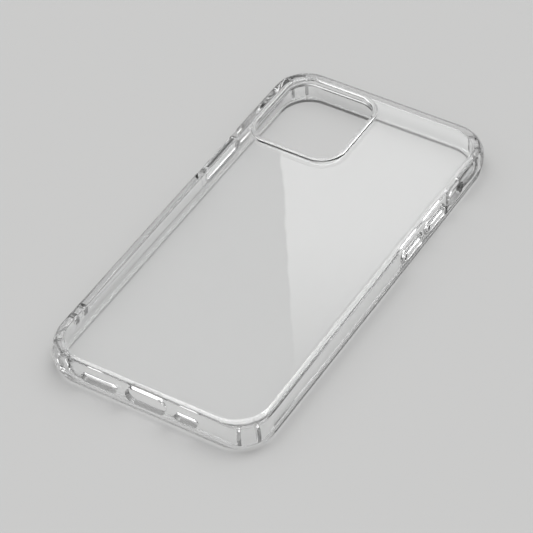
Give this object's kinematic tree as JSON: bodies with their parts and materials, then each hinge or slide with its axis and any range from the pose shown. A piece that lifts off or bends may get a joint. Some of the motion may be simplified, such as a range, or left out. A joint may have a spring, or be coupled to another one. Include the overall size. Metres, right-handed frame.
{
  "type": "phone case",
  "caption": "Clear two-material phone case with a hard back panel, a soft frame with cushioned corners, a raised camera guard and press-in side buttons.",
  "frame": {"origin": "on the plane of the front rim, in the middle of the case", "axes": "+X towards the wall with the volume buttons as seen from the back, +Y along the case towards the end with the camera opening, +Z out of the back panel"},
  "size_m": [0.0768, 0.151, 0.0117],
  "materials": {
    "hard_clear": "polished",
    "soft_clear": "polished"
  },
  "bodies": {
    "case": {"bumper_frame": "soft_clear", "back_panel": "hard_clear", "camera_guard": "soft_clear", "power_button_skirt": "soft_clear", "volume_up_button_skirt": "soft_clear", "volume_down_button_skirt": "soft_clear"},
    "power": {"power_button": "soft_clear"},
    "volume_up": {"volume_up_button": "soft_clear"},
    "volume_down": {"volume_down_button": "soft_clear"}
  },
  "joints": [
    {"name": "power_press", "type": "slide", "parent": "case", "child": "power", "axis": [1, 0, 0], "range_m": [0, 0.0004], "stiffness_N_per_m": 1500, "deforming": ["power_button_skirt"]},
    {"name": "volume_up_press", "type": "slide", "parent": "case", "child": "volume_up", "axis": [-1, 0, 0], "range_m": [0, 0.0004], "stiffness_N_per_m": 1500, "deforming": ["volume_up_button_skirt"]},
    {"name": "volume_down_press", "type": "slide", "parent": "case", "child": "volume_down", "axis": [-1, 0, 0], "range_m": [0, 0.0004], "stiffness_N_per_m": 1500, "deforming": ["volume_down_button_skirt"]}
  ]
}
